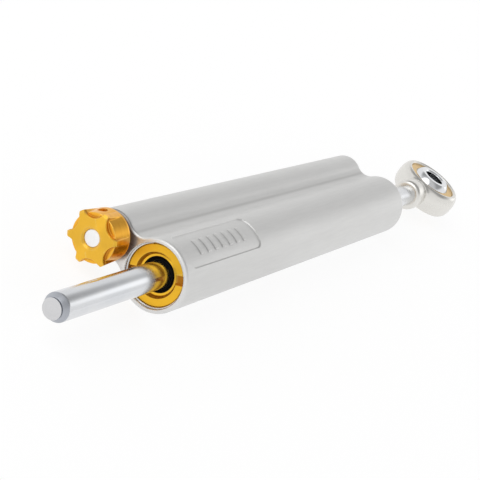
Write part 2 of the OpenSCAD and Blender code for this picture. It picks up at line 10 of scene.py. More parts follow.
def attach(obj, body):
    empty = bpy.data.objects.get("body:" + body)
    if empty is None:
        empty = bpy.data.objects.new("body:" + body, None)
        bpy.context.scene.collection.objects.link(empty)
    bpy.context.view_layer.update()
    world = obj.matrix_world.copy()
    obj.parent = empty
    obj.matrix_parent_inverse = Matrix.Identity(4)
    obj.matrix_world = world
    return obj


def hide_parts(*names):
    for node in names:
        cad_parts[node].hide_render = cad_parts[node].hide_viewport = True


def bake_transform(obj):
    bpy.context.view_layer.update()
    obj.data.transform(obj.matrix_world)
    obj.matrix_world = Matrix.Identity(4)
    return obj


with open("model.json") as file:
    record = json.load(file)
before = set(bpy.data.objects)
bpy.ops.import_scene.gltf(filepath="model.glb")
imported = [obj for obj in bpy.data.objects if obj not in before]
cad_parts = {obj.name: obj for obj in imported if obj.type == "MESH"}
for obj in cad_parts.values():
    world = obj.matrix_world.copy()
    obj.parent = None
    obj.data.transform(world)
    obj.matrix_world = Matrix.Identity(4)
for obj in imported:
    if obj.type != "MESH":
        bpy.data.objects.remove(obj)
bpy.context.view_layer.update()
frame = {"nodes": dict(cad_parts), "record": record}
print("frame loaded with", len(frame["nodes"]), "nodes")

mm = 0.001
frontFace, rearFace = -102.5, 102.5  # end faces of the barrel along X
lobeY = 21.8  # axis of the small lobe
eyeX = 170.3  # centre of the rod end's eye


# Camera at the photograph's viewing angle
cameraSet = {
    "place": (-0.50001, -0.13174, 0.22030),
    "right": (0.46205, -0.69064, 0.55635),
    "up": (0.14393, 0.67741, 0.72138),
    "forward": (0.87510, 0.25324, -0.41240),
    "lens": 102.78,
}
cameraData = bpy.data.cameras.new("photoCamera")
cameraData.lens = cameraSet["lens"]
cameraData.sensor_width = 36
cameraData.clip_start, cameraData.clip_end = 0.01, 50
camera = bpy.data.objects.new("photoCamera", cameraData)
turn = np.eye(4)
turn[:3, 0], turn[:3, 1] = cameraSet["right"], cameraSet["up"]
turn[:3, 2] = -np.array(cameraSet["forward"])
turn[:3, 3] = cameraSet["place"]
camera.matrix_world = Matrix(turn.tolist())
bpy.context.collection.objects.link(camera)
bpy.context.scene.camera = camera
bpy.context.scene.view_settings.view_transform = "Standard"
print("camera placed")


# Node helpers
def addNode(tree, kind, inputs=None, **settings):
    made = tree.nodes.new(kind)
    for key, value in settings.items():
        setattr(made, key, value)
    for key, value in (inputs or {}).items():
        if isinstance(value, bpy.types.NodeSocket):
            tree.links.new(value, made.inputs[key])
        else:
            made.inputs[key].default_value = value
    return made


def newMaterial(name, **shader):
    material = bpy.data.materials.new(name)
    material.use_nodes = True
    tree = material.node_tree
    bsdf = tree.nodes["Principled BSDF"]
    for key, value in shader.items():
        bsdf.inputs[key].default_value = value
    return material, tree, bsdf


def noise(tree, vector, scale, detail=2.0, rough=0.5):
    inputs = {"Vector": vector, "Scale": scale, "Detail": detail, "Roughness": rough}
    return addNode(tree, "ShaderNodeTexNoise", inputs).outputs["Fac"]


def mapRange(tree, value, low, high, toLow, toHigh):
    inputs = {"Value": value, "From Min": low, "From Max": high, "To Min": toLow, "To Max": toHigh}
    return addNode(tree, "ShaderNodeMapRange", inputs).outputs["Result"]


def ramp(tree, value, stops):
    made = addNode(tree, "ShaderNodeValToRGB", {"Fac": value})
    for element, (place, colour) in zip(made.color_ramp.elements, stops):
        element.position, element.color = place, (*colour, 1)
    return made.outputs["Color"]


def math2(tree, operation, a, b):
    return addNode(tree, "ShaderNodeMath", {0: a, 1: b}, operation=operation).outputs[0]


def blend(tree, share, a, b):
    return addNode(tree, "ShaderNodeMix", {0: share, 6: a, 7: b}, data_type="RGBA").outputs[2]


def objectPoint(tree):
    return addNode(tree, "ShaderNodeTexCoord").outputs["Object"]


def bump(tree, bsdf, height, strength, distance):
    made = addNode(tree, "ShaderNodeBump", {"Height": height, "Strength": strength, "Distance": distance})
    tree.links.new(made.outputs["Normal"], bsdf.inputs["Normal"])


# Distance of a point from the line along X through Y = y, in metres: the length of (0, Y - y, Z)
def offAxis(tree, point, y=0.0):
    moved = addNode(tree, "ShaderNodeMapping", {"Vector": point, "Location": (0, -y, 0), "Scale": (0, 1, 1)})
    return addNode(tree, "ShaderNodeVectorMath", {0: moved.outputs[0]}, operation="LENGTH").outputs["Value"]


# Turning marks: noise that changes only with the distance from an axis
def ringNoise(tree, radius, density, detail):
    inputs = {"W": math2(tree, "MULTIPLY", radius, density), "Scale": 1.0, "Detail": detail}
    return addNode(tree, "ShaderNodeTexNoise", inputs, noise_dimensions="1D").outputs["Fac"]


# The share that markPoints puts on a mesh under this name, or 0 where it has none
def markOf(tree, name):
    return addNode(tree, "ShaderNodeAttribute", attribute_name=name).outputs["Fac"]


# How much an edge stands out, from 0 on flats to 1 on convex edges
def edgeWear(tree):
    pointed = addNode(tree, "ShaderNodeNewGeometry").outputs["Pointiness"]
    return mapRange(tree, pointed, 0.5, 0.56, 0.0, 1.0)


# Finishes
def makeBlastedAlloy():
    material, tree, bsdf = newMaterial("blastedAlloy", Metallic=0.85)
    point = objectPoint(tree)
    grain = noise(tree, point, 5200, 2.0, 0.6)
    cloud = noise(tree, point, 55, 4.0, 0.55)
    streak = addNode(tree, "ShaderNodeMapping", {"Vector": point, "Scale": (0.08, 1, 1)}).outputs[0]
    drawn = noise(tree, streak, 900, 3.0, 0.5)
    tone = math2(tree, "ADD", math2(tree, "MULTIPLY", cloud, 0.6), math2(tree, "MULTIPLY", drawn, 0.4))
    colour = ramp(tree, tone, [(0.3, (0.69, 0.688, 0.68)), (0.7, (0.765, 0.763, 0.755))])
    wear = edgeWear(tree)
    colour = blend(tree, math2(tree, "MULTIPLY", wear, 0.6), colour, (0.86, 0.86, 0.85, 1))
    rough = mapRange(tree, cloud, 0.3, 0.7, 0.46, 0.56)
    paintedShade, cut = markOf(tree, "paintedShade"), markOf(tree, "smooth")  # painted shade in dark lines and round the knob; cut faces and bores
    # Painted shade: marked points darken towards a dark grey
    colour = blend(tree, math2(tree, "MULTIPLY", paintedShade, 0.7), colour, (0.16, 0.155, 0.145, 1))
    tree.links.new(colour, bsdf.inputs["Base Color"])
    rough = mapRange(tree, cut, 0.0, 1.0, rough, mapRange(tree, drawn, 0.3, 0.7, 0.34, 0.42))
    rough = math2(tree, "SUBTRACT", rough, math2(tree, "MULTIPLY", wear, 0.14))
    tree.links.new(rough, bsdf.inputs["Roughness"])
    bump(tree, bsdf, grain, 0.28, 0.00005)
    return material


# The head, the knob's turned face and the knob's milled sides, which are painted a deeper orange as shade
goldSet = {
    "goldAnodise": {"axisY": 0.0, "anisotropy": 0.2, "coat": 0.1, "rough": 0.44,
                    "dark": (0.86, 0.47, 0.022), "light": (0.96, 0.57, 0.042)},
    "knobGold": {"axisY": lobeY * mm, "anisotropy": 0.85, "coat": 0.4, "rough": 0.46,
                 "dark": (0.86, 0.47, 0.022), "light": (0.96, 0.57, 0.042)},
    "knobSideShadedGold": {"axisY": lobeY * mm, "anisotropy": 0.0, "coat": 0.35, "rough": 0.34,
                     "dark": (0.84, 0.38, 0.012), "light": (0.95, 0.49, 0.028)},
}


def makeGoldAnodise(name, s):
    material, tree, bsdf = newMaterial(name, Metallic=1.0, Anisotropic=s["anisotropy"])
    bsdf.inputs["Anisotropic Rotation"].default_value = 0.25  # turning marks spread light along the radius
    bsdf.inputs["Coat Weight"].default_value = s["coat"]  # the clear oxide layer
    bsdf.inputs["Coat Roughness"].default_value = 0.3
    bsdf.inputs["Coat IOR"].default_value = 1.6
    point = objectPoint(tree)
    wander = noise(tree, point, 900, 3.0, 0.6)
    marks = ringNoise(tree, offAxis(tree, point, s["axisY"]), 9000.0, 3.0)
    tone = math2(tree, "ADD", math2(tree, "MULTIPLY", wander, 0.35), math2(tree, "MULTIPLY", marks, 0.65))
    colour = ramp(tree, tone, [(0.25, s["dark"]), (0.75, s["light"])])
    milledAndShade, smooth = markOf(tree, "milledAndShade"), markOf(tree, "smooth")
    # Painted shade: marked points darken towards brown; the same mark makes the milled faces rougher below
    colour = blend(tree, milledAndShade, colour, (0.56, 0.23, 0.015, 1))
    colour = blend(tree, math2(tree, "MULTIPLY", edgeWear(tree), 0.35), colour, (0.95, 0.70, 0.20, 1))
    tree.links.new(colour, bsdf.inputs["Base Color"])
    turned = mapRange(tree, tone, 0.3, 0.7, s["rough"] - 0.06, s["rough"] + 0.06)
    rough = mapRange(tree, smooth, 0.0, 1.0, turned, mapRange(tree, wander, 0.3, 0.7, 0.28, 0.36))
    rough = math2(tree, "ADD", rough, math2(tree, "MULTIPLY", milledAndShade, 0.15))
    tree.links.new(rough, bsdf.inputs["Roughness"])
    bump(tree, bsdf, marks, 0.12, 0.00003)
    tangent = addNode(tree, "ShaderNodeTangent", direction_type="RADIAL", axis="X")
    tree.links.new(tangent.outputs[0], bsdf.inputs["Tangent"])
    return material


def makeHardChrome():
    material, tree, bsdf = newMaterial("hardChrome", Metallic=1.0)
    point = objectPoint(tree)
    squeezed = addNode(tree, "ShaderNodeMapping", {"Vector": point, "Scale": (1, 0.04, 0.04)}).outputs[0]
    grinding = noise(tree, squeezed, 14000, 2.0, 0.6)
    smear = noise(tree, point, 120, 3.0, 0.5)
    colour = ramp(tree, smear, [(0.3, (0.66, 0.675, 0.70)), (0.7, (0.72, 0.73, 0.745))])
    along = addNode(tree, "ShaderNodeSeparateXYZ", {0: point}).outputs["X"]
    tip = mapRange(tree, along, -0.16262, -0.1625, 1.0, 0.0)  # 1 on the faced end
    taper = mapRange(tree, along, -0.16, -0.1599, 1.0, 0.0)  # 1 on the tapered tip
    rings = ringNoise(tree, offAxis(tree, point), 7000.0, 2.0)
    faced = ramp(tree, rings, [(0.3, (0.62, 0.62, 0.63)), (0.7, (0.75, 0.75, 0.76))])
    colour = blend(tree, taper, colour, (0.47, 0.49, 0.53, 1))
    tree.links.new(blend(tree, tip, colour, faced), bsdf.inputs["Base Color"])
    rough = mapRange(tree, smear, 0.3, 0.7, 0.15, 0.22)
    turned = [math2(tree, "MULTIPLY", tip, 0.1), math2(tree, "MULTIPLY", taper, 0.3)]
    rough = math2(tree, "ADD", rough, math2(tree, "ADD", *turned))
    tree.links.new(rough, bsdf.inputs["Roughness"])
    bump(tree, bsdf, grinding, 0.05, 0.00002)
    return material


def makeSealRubber():
    material, tree, bsdf = newMaterial("sealRubber", Metallic=0.0)
    bsdf.inputs["Specular IOR Level"].default_value = 0.15
    point = objectPoint(tree)
    skin = noise(tree, point, 1500, 3.0, 0.6)
    tree.links.new(ramp(tree, skin, [(0.3, (0.0015, 0.0015, 0.002)), (0.7, (0.004, 0.004, 0.005))]),
                   bsdf.inputs["Base Color"])
    tree.links.new(mapRange(tree, skin, 0.3, 0.7, 0.60, 0.75), bsdf.inputs["Roughness"])
    bump(tree, bsdf, skin, 0.15, 0.00004)
    return material


# Plain metals share one recipe: a mottled colour, a mottled roughness and a fine bump
def makeMetal(name, dark, light, rough, scale=700, grain=0.1):
    material, tree, bsdf = newMaterial(name, Metallic=1.0)
    point = objectPoint(tree)
    mottle = noise(tree, point, scale, 3.0, 0.55)
    fine = noise(tree, point, scale * 6, 2.0, 0.5)
    tree.links.new(ramp(tree, mottle, [(0.3, dark), (0.7, light)]), bsdf.inputs["Base Color"])
    tree.links.new(mapRange(tree, mottle, 0.3, 0.7, rough * 0.85, rough * 1.15), bsdf.inputs["Roughness"])
    bump(tree, bsdf, fine, grain, 0.00004)
    return material


def makePlastic(name, dark, light):
    material, tree, bsdf = newMaterial(name, Metallic=0.0)
    point = objectPoint(tree)
    mottle = noise(tree, point, 600, 3.0, 0.55)
    tree.links.new(ramp(tree, mottle, [(0.3, dark), (0.7, light)]), bsdf.inputs["Base Color"])
    tree.links.new(mapRange(tree, mottle, 0.3, 0.7, 0.35, 0.5), bsdf.inputs["Roughness"])
    bump(tree, bsdf, mottle, 0.1, 0.00004)
    return material


finishes = {
    "blasted_alloy": makeBlastedAlloy(),
    "gold_anodised": makeGoldAnodise("goldAnodise", goldSet["goldAnodise"]),
    "hard_chrome": makeHardChrome(),
    "seal_rubber": makeSealRubber(),
    "bush_bronze": makeMetal("bushBronze", (0.42, 0.24, 0.10), (0.52, 0.31, 0.14), 0.35),
    "spring_steel": makeMetal("springSteel", (0.58, 0.58, 0.59), (0.70, 0.70, 0.71), 0.24),
    "rod_end_steel": makeMetal("rodEndSteel", (0.75, 0.735, 0.70), (0.79, 0.775, 0.74), 0.30, 160, 0.02),
    "race_brass": makeMetal("raceBrass", (0.70, 0.47, 0.19), (0.82, 0.58, 0.26), 0.30),
    "ball_chrome": makeMetal("ballChrome", (0.74, 0.75, 0.77), (0.82, 0.83, 0.84), 0.12, 300, 0.02),
    "plain_alloy": makeMetal("plainAlloy", (0.50, 0.50, 0.50), (0.60, 0.60, 0.60), 0.35),
    "band_plastic": makePlastic("bandPlastic", (0.10, 0.06, 0.035), (0.16, 0.10, 0.06)),
    "needle_brass": makeMetal("needleBrass", (0.60, 0.42, 0.16), (0.72, 0.52, 0.22), 0.3),
    "spindle_steel": makeMetal("spindleSteel", (0.88, 0.88, 0.885), (0.95, 0.95, 0.955), 0.42),
    "black_steel": makeMetal("blackSteel", (0.016, 0.015, 0.015), (0.035, 0.033, 0.032), 0.38),
}
knobGold, knobSideShadedGold = [makeGoldAnodise(name, goldSet[name]) for name in ("knobGold", "knobSideShadedGold")]
print("finishes made:", len(finishes) + 2)


# Mesh helpers, all in millimetres until the mesh is filled. First a profile with eased corners: each becomes
# (1-t)^2 a + 2t(1-t) corner + t^2 b, where a and b lie on the two sides at the easing distance, or at 0.45 of
# the side where that is shorter
def eased(profile, ease, steps=5):
    profile = np.asarray(profile, float)
    before, corner, after = profile[:-2], profile[1:-1], profile[2:]
    ease = np.broadcast_to(ease, len(corner))
    back, ahead = before - corner, after - corner
    backLong, aheadLong = np.linalg.norm(back, axis=1), np.linalg.norm(ahead, axis=1)
    a = corner + back * (np.minimum(ease, 0.45 * backLong) / backLong)[:, None]
    b = corner + ahead * (np.minimum(ease, 0.45 * aheadLong) / aheadLong)[:, None]
    t = np.linspace(0, 1, steps)[None, :, None]
    curve = (1 - t) ** 2 * a[:, None] + 2 * t * (1 - t) * corner[:, None] + t ** 2 * b[:, None]
    return np.vstack([profile[:1], curve.reshape(-1, 2), profile[-1:]])


def around(count):
    return np.linspace(0, 2 * np.pi, count, endpoint=False)


# A turned surface: the profile's (along, radius) goes round an axis along X, to (along, y + r cos a, r sin a)
def turnedX(profile, count, y=0.0):
    profile, angle = np.asarray(profile, float), around(count)
    along, radius = profile[:, :1], profile[:, 1:]
    return np.stack(np.broadcast_arrays(along, y + radius * np.cos(angle), radius * np.sin(angle)), -1)


# The same round the upright bolt axis of the eye: (eyeX + r cos a, r sin a, along)
def turnedZ(profile, count):
    profile, angle = np.asarray(profile, float), around(count)
    along, radius = profile[:, :1], profile[:, 1:]
    return np.stack(np.broadcast_arrays(eyeX + radius * np.cos(angle), radius * np.sin(angle), along), -1)


def pointsOf(mesh):
    place = np.empty(len(mesh.vertices) * 3)
    mesh.vertices.foreach_get("co", place)
    return place.reshape(-1, 3).T / mm


# A share from 0 to 1 on each point, which a finish reads by its name
def markPoints(mesh, name, share):
    mesh.attributes.new(name, "FLOAT", "POINT").data.foreach_set("value", np.asarray(share, np.float32))


mergeGap = 0.0005  # points closer than this are one point


# One mesh from grids of points (rows, columns, 3). Each cell is a quad, the last column joins the first, and
# a grid with loop set joins its last row to its first. Doubles merge, which closes poles and seams. A mark,
# given as a name and shares, goes onto the points of the first grid.
def fillMesh(name, grids, loop=False, sharpAngle=35, sideMark=None):
    verts, quads, count = [], [], 0
    for points in grids:
        rows, columns = points.shape[:2]
        index = count + np.arange(rows * columns).reshape(rows, columns)
        if loop:
            index = np.vstack([index, index[:1]])
        beside = np.roll(index, -1, axis=1)
        quads.append(np.stack([index[:-1], beside[:-1], beside[1:], index[1:]], -1).reshape(-1, 4))
        verts.append(points.reshape(-1, 3))
        count += rows * columns
    mesh = bpy.data.meshes.new(name)
    mesh.from_pydata((np.vstack(verts) * mm).tolist(), [], np.vstack(quads).tolist())
    if sideMark:
        share = np.zeros(count)
        share[:sideMark[1].size] = sideMark[1].ravel()
        markPoints(mesh, sideMark[0], share)
    work = bmesh.new()
    work.from_mesh(mesh)
    bmesh.ops.remove_doubles(work, verts=work.verts, dist=mergeGap * mm)
    bmesh.ops.dissolve_degenerate(work, edges=work.edges, dist=mergeGap * mm)
    bmesh.ops.recalc_face_normals(work, faces=work.faces)
    work.to_mesh(mesh)
    work.free()
    mesh.shade_smooth()
    mesh.set_sharp_from_angle(angle=math.radians(sharpAngle))
    return mesh


def placePiece(name, mesh, body, slot, nodes, material=None):
    piece = bpy.data.objects.new(name, mesh)
    bpy.context.collection.objects.link(piece)
    mesh.materials.clear()
    mesh.materials.append(material or finishes[slot])
    if body:
        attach(piece, body)
    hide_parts(*nodes)
    return piece


# Twin-lobe housing
housingSet = {
    "barrelR": 13.5, "lobeR": 8.9, "blendR": 6.5, "edgeR": 1.15, "boreR": 11.7, "mouth": 0.3,
    "sleeveBoreR": 6.52, "sleeveBoreL": 34.0, "capBoreR": 6.0, "capBoreL": 40.0,
    "badgeFrom": 4.6, "badgeL": 52.4, "badgeW": 14.6, "badgeAngle": 98.2, "badgeDepth": 0.42,
    "badgeCorner": 2.6, "barCount": 7, "barW": 2.6, "barH": 6.4, "barPitch": 5.4, "barRise": 0.6,
    "barCorner": 0.35, "stepW": 0.4, "fineStep": 0.2, "firstRow": 2.4, "plainGap": 2.0, "plainRows": 14,
    "chordPoints": 13, "arcPoints": 64, "nearPoints": 8, "blendPoints": 25, "fineEnds": 0.8, "fineSides": 1.2,
    "shadeW": 0.24, "plateShade": 0.55, "barShade": 0.4, "shadeAcross": (-5.0, 4.0), "waistShade": 0.3,
    "waistW": 0.7, "boreShade": 0.6, "rimShade": (8.6, 10.6),
}


# Signed distance to a rounded rectangle: negative inside
def roundedBox(x, y, halfX, halfY, corner):
    outX, outY = np.abs(x) - halfX + corner, np.abs(y) - halfY + corner
    outside = np.hypot(np.maximum(outX, 0), np.maximum(outY, 0))
    return outside + np.minimum(np.maximum(outX, outY), 0) - corner


def smoothStep(value, low, high):
    t = np.clip((value - low) / (high - low), 0, 1)
    return t * t * (3 - 2 * t)


# Half of each blend belongs to the barrel and half to the lobe. Each outline point is centre + direction x
# radius, and its outward normal is the direction, or its opposite on the hollow blends.
def housingOutline(s):
    near, far = s["barrelR"] + s["blendR"], s["lobeR"] + s["blendR"]
    blendY = (near ** 2 - far ** 2 + lobeY ** 2) / (2 * lobeY)
    blendZ = math.sqrt(near ** 2 - blendY ** 2)
    meet = math.atan2(blendZ, blendY)  # where the blend leaves the barrel
    leave = math.atan2(blendZ, blendY - lobeY)  # where it reaches the lobe
    fineHalf = (s["badgeW"] / 2 + s["fineSides"]) / s["barrelR"]
    middle = math.radians(s["badgeAngle"])
    fineCount = int(2 * fineHalf * s["barrelR"] / s["fineStep"])
    barrelAngles = np.concatenate([
        np.linspace(meet, middle - fineHalf, s["nearPoints"], endpoint=False),
        np.linspace(middle - fineHalf, middle + fineHalf, fineCount, endpoint=False),
        np.linspace(middle + fineHalf, 2 * np.pi - meet, s["arcPoints"]),
    ])
    lobeAngles = np.linspace(-leave, leave, s["arcPoints"])

    def arc(centreY, centreZ, radius, angles, sign):
        direction = np.stack([np.cos(angles), np.sin(angles)], -1)
        return np.array([centreY, centreZ]) + radius * direction, sign * direction

    down, upTurn, count = 1.5 * np.pi, 0.5 * np.pi, s["blendPoints"]
    barrelParts = [
        arc(blendY, blendZ, s["blendR"], np.linspace(down, np.pi + meet, count)[:-1], -1),
        arc(0, 0, s["barrelR"], barrelAngles, 1),
        arc(blendY, -blendZ, s["blendR"], np.linspace(np.pi - meet, upTurn, count)[1:], -1),
    ]
    lobeParts = [
        arc(blendY, -blendZ, s["blendR"], np.linspace(upTurn, np.pi - leave, count)[:-1], -1),
        arc(lobeY, 0, s["lobeR"], lobeAngles, 1),
        arc(blendY, blendZ, s["blendR"], np.linspace(np.pi + leave, down, count)[1:], -1),
    ]
    barrel = [np.vstack(part) for part in zip(*barrelParts)]
    lobe = [np.vstack(part) for part in zip(*lobeParts)]
    return barrel, lobe


# The side wall is outline(u) carried along X with its ends rolled in by a quarter circle, less the badge's
# depth. Each end face runs from the rolled edge to the bores in two rings that share the chord at the waist.
def makeHousing(s):
    barrel, lobe = housingOutline(s)
    outline = np.vstack([barrel[0], lobe[0][1:-1]])
    normal = np.vstack([barrel[1], lobe[1][1:-1]])
    roll = np.linspace(0, np.pi / 2, 7)
    inset = s["edgeR"] * (1 - np.sin(roll))
    drop = s["edgeR"] * (1 - np.cos(roll))
    badgeEnd = s["badgeFrom"] + s["badgeL"]
    fine = np.arange(s["badgeFrom"] - s["fineEnds"], badgeEnd + s["fineEnds"], s["fineStep"])
    length = rearFace - frontFace
    plain = np.linspace(badgeEnd + s["plainGap"], length - s["plainGap"], s["plainRows"])
    depth = np.concatenate([drop, [s["firstRow"]], fine, plain, length - drop[::-1]])
    inset = np.concatenate([inset, np.zeros(len(depth) - 2 * len(inset)), inset[::-1]])

    # Badge: a rounded rectangle round the barrel, with plain bars left standing in it
    angle = np.arctan2(outline[:, 1], outline[:, 0])
    onBarrel = np.hypot(outline[:, 0], outline[:, 1]) < s["barrelR"] + 1e-6
    across = s["barrelR"] * (angle - math.radians(s["badgeAngle"]))
    along = depth[:, None] - s["badgeFrom"] - s["badgeL"] / 2
    plate = roundedBox(along, across[None], s["badgeL"] / 2, s["badgeW"] / 2, s["badgeCorner"])
    run = (s["barCount"] - 1) / 2 * s["barPitch"]
    nearest = np.clip(np.round((along + run) / s["barPitch"]), 0, s["barCount"] - 1) * s["barPitch"] - run
    bar = roundedBox(along - nearest, across[None], s["barW"] / 2, s["barH"] / 2, s["barCorner"])
    half = s["stepW"] / 2
    left = 1 - s["barRise"] * (1 - smoothStep(bar, -half, half))
    sunk = (1 - smoothStep(plate, -half, half)) * left * onBarrel[None]
    shift = inset[:, None] + s["badgeDepth"] * sunk
    ring = outline[None] - normal[None] * shift[..., None]
    lower = smoothStep(across, *s["shadeAcross"]) * onBarrel  # the steps that face away from the light
    # Painted shade: dark lines along the badge's plate and bar edges on the steps that face away from the
    # light, and along the valley at the waist
    edge, rib = [np.exp(-(gap / s["shadeW"]) ** 2) for gap in (plate, bar)]
    waist = s["waistShade"] * np.exp(-((outline[:, 0] - barrel[0][0, 0]) / s["waistW"]) ** 2) * ~onBarrel
    paintedShade = np.maximum(np.maximum(s["plateShade"] * edge, s["barShade"] * rib) * lower, waist)
    rows = np.broadcast_to((frontFace + depth)[:, None, None], ring[..., :1].shape)
    side = np.concatenate([rows, ring], -1)

    # End faces: outer loop to bore circle, straight lines from the loop towards each centre
    def faceRings(x, step, bores):
        chord = np.linspace(-1, 1, s["chordPoints"])[1:-1, None]
        top = barrel[0][0] - barrel[1][0] * s["edgeR"]
        across = np.hstack([np.full_like(chord, top[0]), chord * top[1]])
        loops = [np.vstack([barrel[0] - barrel[1] * s["edgeR"], across]),
                 np.vstack([lobe[0] - lobe[1] * s["edgeR"], across[::-1]])]
        grids = []
        for loop, centreY, (bore, floor) in zip(loops, (0.0, lobeY), bores):
            centre = np.array([centreY, 0])
            ray = loop - centre
            ray = ray / np.linalg.norm(ray, axis=1, keepdims=True)
            mouth, wall, middle = [centre + ray * radius for radius in (bore + s["mouth"], bore, 0.0)]
            rings = [loop, 0.5 * (loop + mouth), mouth, wall, wall] + ([] if floor is None else [middle])
            deep = [0, 0, 0, s["mouth"]] + ([length / 2] if floor is None else [floor, floor])
            points = np.stack(rings)
            places = np.broadcast_to((x + step * np.array(deep))[:, None, None], points[..., :1].shape)
            grids.append(np.concatenate([places, points], -1))
        return grids

    frontRings = faceRings(frontFace, 1, [(s["boreR"], None), (s["sleeveBoreR"], s["sleeveBoreL"])])
    rearRings = faceRings(rearFace, -1, [(s["boreR"], None), (s["capBoreR"], s["capBoreL"])])
    mesh = fillMesh("housing", [side] + frontRings + rearRings, sideMark=("paintedShade", paintedShade))
    x, y, z = pointsOf(mesh)
    inBore = np.minimum(np.hypot(y, z) - s["boreR"], np.hypot(y - lobeY, z) - s["sleeveBoreR"]) < 0.5
    markPoints(mesh, "smooth", inBore | (np.abs(x) > rearFace - 0.01))
    # Painted shade on the main bore's wall
    shaded = np.empty(len(mesh.vertices), np.float32)
    mesh.attributes["paintedShade"].data.foreach_get("value", shaded)
    shaded[np.hypot(y, z) < s["boreR"] + 0.05] = s["boreShade"]
    # Painted shadow of the knob: the front face darkens round the lobe's axis out towards the rim
    knobShadow = 1 - smoothStep(np.hypot(y - lobeY, z), *s["rimShade"])
    shaded = np.maximum(shaded, knobShadow * (x < frontFace + 0.6)).astype(np.float32)
    mesh.attributes["paintedShade"].data.foreach_set("value", shaded)
    placePiece("housing", mesh, "housing", "blasted_alloy", ["barrel_housing"])


makeHousing(housingSet)
print("housing made")


# Adjuster knob, with heights in front of the lobe's face
knobSet = {
    "reach": 12.8, "fall": 0.15, "flatR": 4.6, "holeR": 3.22, "mouth": 0.75, "noses": 6, "gripAngle": 28.3,
    "noseFaceR": 9.4, "noseR": 10.2, "noseH": 12.0, "rimR": 9.6, "rimH": 2.5, "rimEdge": 0.4, "gripW": 2.0,
    "gripFoot": 0.7, "coreFront": 8.9, "coreRear": 9.75, "cutterR": 5.2, "floorR": 7.1, "ledgeH": 11.15,
    "fillet": 0.4, "bevel": 0.14,
    "bossR": 7.4, "bossH": 1.3, "grubAngle": 58.3, "grubHeight": 6.86, "grubR": 1.72, "grubFloorR": 5.4,
    "columns": 720, "sideRows": 48, "wallMilledShade": 0.7,
}
missR = 99.0


# How far a direction lies from the middle of the nearest scallop
def fromScallop(s, angle):
    pitch = 2 * np.pi / s["noses"]
    return (angle - np.radians(s["gripAngle"])) % pitch - pitch / 2


# Radius at which a ray from the axis meets a round cutter of radius R that leaves a floor:
# c cos a - sqrt(R^2 - (c sin a)^2) with c = floor + R, and missR where the ray misses the cutter
def roundCut(away, floor, cutter):
    centre = floor + cutter
    inside = cutter ** 2 - (centre * np.sin(away)) ** 2
    return np.where(inside > 0, centre * np.cos(away) - np.sqrt(np.maximum(inside, 0)), missR)


# Radius of the knob's side: a cone from the noses to the rim along the grips, which falls by a smooth step
# across each grip's foot to the core, a second cone that opens towards the rim
def knobSide(s, angle, height):
    rise = np.clip((height - s["rimH"]) / (s["noseH"] - s["rimH"]), 0, 1)
    cone = s["rimR"] + (s["noseR"] - s["rimR"]) * rise
    core = np.minimum(cone, s["coreRear"] + (s["coreFront"] - s["coreRear"]) * rise)
    beside = s["noseR"] * np.abs(np.pi / s["noses"] - np.abs(fromScallop(s, angle)))
    return cone + (core - cone) * smoothStep(beside, s["gripW"] / 2, s["gripW"] / 2 + s["gripFoot"])


